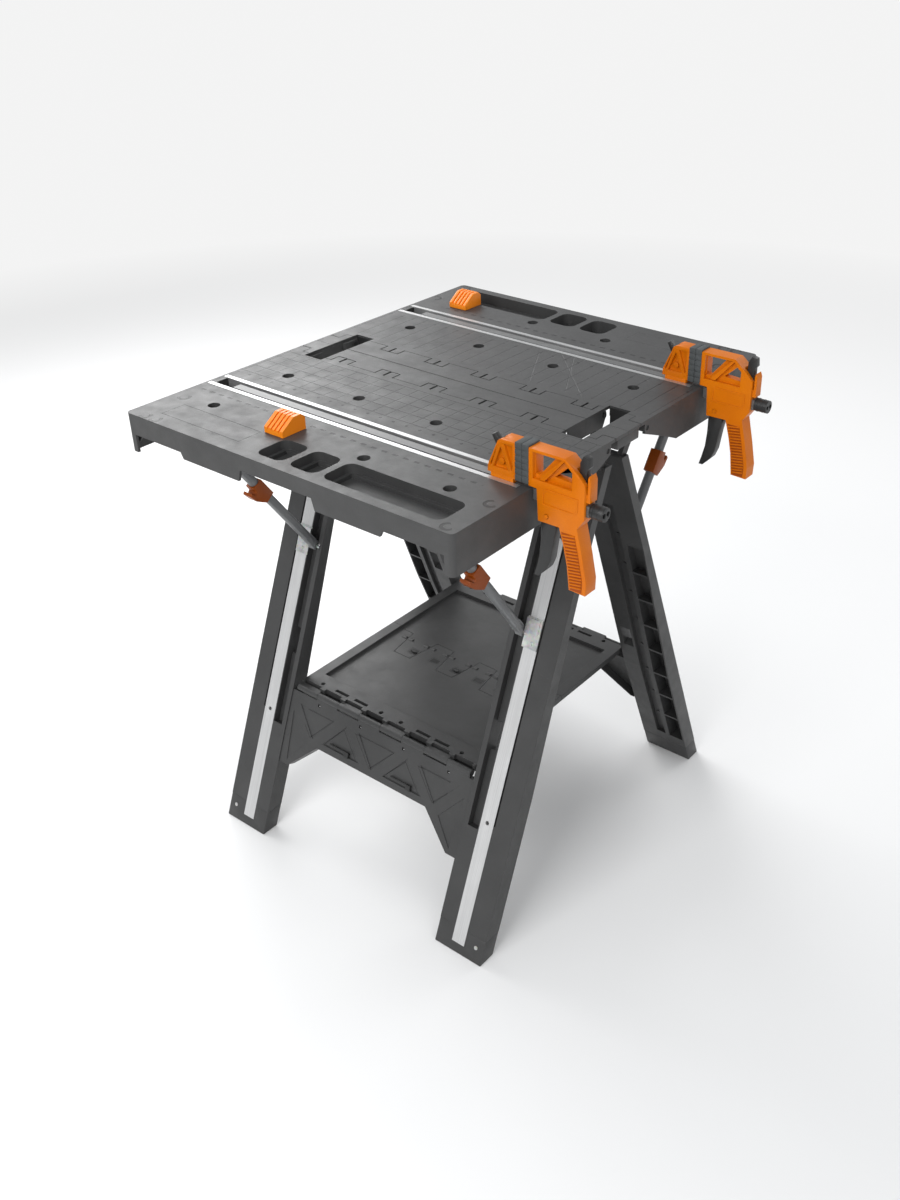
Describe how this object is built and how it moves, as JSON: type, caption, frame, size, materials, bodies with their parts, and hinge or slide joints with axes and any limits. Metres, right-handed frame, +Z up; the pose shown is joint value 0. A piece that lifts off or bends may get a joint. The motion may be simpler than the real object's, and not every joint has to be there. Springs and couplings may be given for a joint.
{
  "type": "folding workbench",
  "caption": "Folding A-frame workbench with two drop-down table halves, side struts, a folding shelf, trigger bar clamps in table tracks and lift-out bench dogs",
  "frame": {"origin": "on the floor under the middle of the table top", "axes": "+X along the clamp tracks toward the trigger clamps, +Y toward the rear table half, +Z up"},
  "size_m": [0.7453, 0.787, 0.878],
  "materials": {
    "table_plastic": "moulded grey plastic",
    "frame_plastic": "moulded dark grey plastic",
    "black_plastic": "black plastic",
    "orange_plastic": "orange plastic",
    "aluminium": "extruded",
    "steel": "zinc plated",
    "strut_metal": "powder coated grey tube",
    "casting": "glass filled orange nylon",
    "pad_rubber": "soft grey rubber"
  },
  "bodies": {
    "spine": {"spine_beam": "frame_plastic", "spine_cover_front": "table_plastic", "spine_cover_rear": "table_plastic", "handle_left": "table_plastic", "handle_right": "table_plastic", "hinge_rod_front": "steel", "hinge_rod_rear": "steel"},
    "front_frame": {"front_leg_left": "frame_plastic", "front_leg_right": "frame_plastic", "front_cross_panel": "table_plastic", "front_leg_strips": "steel", "front_foot_caps": "black_plastic", "front_strut_brackets": "steel", "shelf_rod_front": "steel"},
    "rear_frame": {"rear_leg_left": "frame_plastic", "rear_leg_right": "frame_plastic", "rear_cross_panel": "table_plastic", "rear_leg_strips": "steel", "rear_foot_caps": "black_plastic", "rear_strut_brackets": "steel"},
    "shelf_front_half": {"shelf_front": "table_plastic"},
    "shelf_rear_half": {"shelf_rear": "table_plastic", "shelf_rod_rear": "steel", "shelf_mid_pins": "steel"},
    "front_wing": {"front_table": "table_plastic", "front_track": "aluminium", "front_track_ends": "black_plastic", "front_catches": "steel"},
    "rear_wing": {"rear_table": "table_plastic", "rear_track": "aluminium", "rear_track_ends": "black_plastic", "rear_catches": "steel"},
    "front_strut_left": {"strut_front_left": "strut_metal", "clip_front_left": "orange_plastic"},
    "front_strut_right": {"strut_front_right": "strut_metal", "clip_front_right": "orange_plastic"},
    "rear_strut_left": {"strut_rear_left": "strut_metal", "clip_rear_left": "orange_plastic"},
    "rear_strut_right": {"strut_rear_right": "strut_metal", "clip_rear_right": "orange_plastic"},
    "front_clamp": {"front_clamp_body": "casting", "front_clamp_pad": "pad_rubber", "front_clamp_bar": "aluminium", "front_clamp_knob": "black_plastic"},
    "rear_clamp": {"rear_clamp_body": "casting", "rear_clamp_pad": "pad_rubber", "rear_clamp_bar": "aluminium", "rear_clamp_knob": "black_plastic"},
    "front_jaw_slider": {"front_jaw": "casting", "front_jaw_pad": "pad_rubber"},
    "rear_jaw_slider": {"rear_jaw": "casting", "rear_jaw_pad": "pad_rubber"},
    "front_trigger": {"front_clamp_trigger": "black_plastic"},
    "rear_trigger": {"rear_clamp_trigger": "black_plastic"},
    "front_release": {"front_clamp_release": "black_plastic"},
    "rear_release": {"rear_clamp_release": "black_plastic"},
    "front_jaw_catch": {"front_jaw_lever": "black_plastic"},
    "rear_jaw_catch": {"rear_jaw_lever": "black_plastic"},
    "front_bench_dog": {"front_dog": "orange_plastic"},
    "rear_bench_dog": {"rear_dog": "orange_plastic"}
  },
  "joints": [
    {"name": "front_legs_fold", "type": "hinge", "parent": "spine", "child": "front_frame", "pos_m": [0, -0.052, 0.8], "axis": [1, 0, 0], "range_deg": [0, 20.8]},
    {"name": "rear_legs_fold", "type": "hinge", "parent": "spine", "child": "rear_frame", "pos_m": [0, 0.052, 0.8], "axis": [-1, 0, 0], "range_deg": [0, 20.8]},
    {"name": "shelf_front_fold", "type": "hinge", "parent": "front_frame", "child": "shelf_front_half", "pos_m": [0, -0.22574, 0.2678], "axis": [1, 0, 0], "range_deg": [0, 62.8]},
    {"name": "shelf_rear_fold", "type": "hinge", "parent": "shelf_front_half", "child": "shelf_rear_half", "pos_m": [0, 0, 0.2678], "axis": [-1, 0, 0], "range_deg": [0, 167.1]},
    {"name": "front_wing_fold", "type": "hinge", "parent": "front_frame", "child": "front_wing", "pos_m": [0, -0.052, 0.8], "axis": [1, 0, 0], "range_deg": [0, 69.2]},
    {"name": "rear_wing_fold", "type": "hinge", "parent": "rear_frame", "child": "rear_wing", "pos_m": [0, 0.052, 0.8], "axis": [-1, 0, 0], "range_deg": [0, 69.2]},
    {"name": "front_strut_left_swing", "type": "hinge", "parent": "front_frame", "child": "front_strut_left", "pos_m": [-0.2245, -0.13348, 0.50355], "axis": [1, 0, 0], "range_deg": [0, 122.8]},
    {"name": "front_strut_right_swing", "type": "hinge", "parent": "front_frame", "child": "front_strut_right", "pos_m": [0.2245, -0.13348, 0.50355], "axis": [1, 0, 0], "range_deg": [0, 122.8]},
    {"name": "rear_strut_left_swing", "type": "hinge", "parent": "rear_frame", "child": "rear_strut_left", "pos_m": [-0.2245, 0.13348, 0.50355], "axis": [-1, 0, 0], "range_deg": [0, 122.8]},
    {"name": "rear_strut_right_swing", "type": "hinge", "parent": "rear_frame", "child": "rear_strut_right", "pos_m": [0.2245, 0.13348, 0.50355], "axis": [-1, 0, 0], "range_deg": [0, 122.8]},
    {"name": "front_clamp_slide", "type": "slide", "parent": "front_wing", "child": "front_clamp", "axis": [1, 0, 0], "range_m": [0, 0.7]},
    {"name": "front_jaw_slide", "type": "slide", "parent": "front_wing", "child": "front_jaw_slider", "axis": [1, 0, 0], "range_m": [-0.4, 0]},
    {"name": "front_trigger_squeeze", "type": "hinge", "parent": "front_clamp", "child": "front_trigger", "pos_m": [0.34249, -0.2215, 0.77997], "axis": [0, -1, 0], "range_deg": [0, 12], "stiffness_Nm_per_rad": 0.8, "springref_deg": -8.59},
    {"name": "front_release_tilt", "type": "hinge", "parent": "front_clamp", "child": "front_release", "pos_m": [0.39603, -0.2215, 0.84403], "axis": [0, -1, 0], "range_deg": [0, 6], "stiffness_Nm_per_rad": 0.3, "springref_deg": -5.73},
    {"name": "front_jaw_catch_tilt", "type": "hinge", "parent": "front_jaw_slider", "child": "front_jaw_catch", "pos_m": [0.26305, -0.2215, 0.85022], "axis": [0, -1, 0], "range_deg": [0, 10], "stiffness_Nm_per_rad": 0.1, "springref_deg": -5.73},
    {"name": "front_dog_lift", "type": "slide", "parent": "front_wing", "child": "front_bench_dog", "axis": [0, 0, 1], "range_m": [0, 0.03]},
    {"name": "rear_clamp_slide", "type": "slide", "parent": "rear_wing", "child": "rear_clamp", "axis": [-1, 0, 0], "range_m": [-0.7, 0]},
    {"name": "rear_jaw_slide", "type": "slide", "parent": "rear_wing", "child": "rear_jaw_slider", "axis": [1, 0, 0], "range_m": [-0.4, 0]},
    {"name": "rear_trigger_squeeze", "type": "hinge", "parent": "rear_clamp", "child": "rear_trigger", "pos_m": [0.34249, 0.2215, 0.77997], "axis": [0, -1, 0], "range_deg": [0, 12], "stiffness_Nm_per_rad": 0.8, "springref_deg": -8.59},
    {"name": "rear_release_tilt", "type": "hinge", "parent": "rear_clamp", "child": "rear_release", "pos_m": [0.39603, 0.2215, 0.84403], "axis": [0, -1, 0], "range_deg": [0, 6], "stiffness_Nm_per_rad": 0.3, "springref_deg": -5.73},
    {"name": "rear_jaw_catch_tilt", "type": "hinge", "parent": "rear_jaw_slider", "child": "rear_jaw_catch", "pos_m": [0.26305, 0.2215, 0.85022], "axis": [0, -1, 0], "range_deg": [0, 10], "stiffness_Nm_per_rad": 0.1, "springref_deg": -5.73},
    {"name": "rear_dog_lift", "type": "slide", "parent": "rear_wing", "child": "rear_bench_dog", "axis": [0, 0, 1], "range_m": [0, 0.03]}
  ],
  "couplings": [
    {"joint": "rear_legs_fold", "follows": "front_legs_fold", "ratio": 1},
    {"joint": "shelf_front_fold", "follows": "front_legs_fold", "ratio": 3.016},
    {"joint": "shelf_rear_fold", "follows": "front_legs_fold", "ratio": 8.033},
    {"joint": "front_strut_left_swing", "follows": "front_wing_fold", "ratio": 1.7736},
    {"joint": "front_strut_right_swing", "follows": "front_wing_fold", "ratio": 1.7736},
    {"joint": "rear_strut_left_swing", "follows": "rear_wing_fold", "ratio": 1.7736},
    {"joint": "rear_strut_right_swing", "follows": "rear_wing_fold", "ratio": 1.7736}
  ]
}
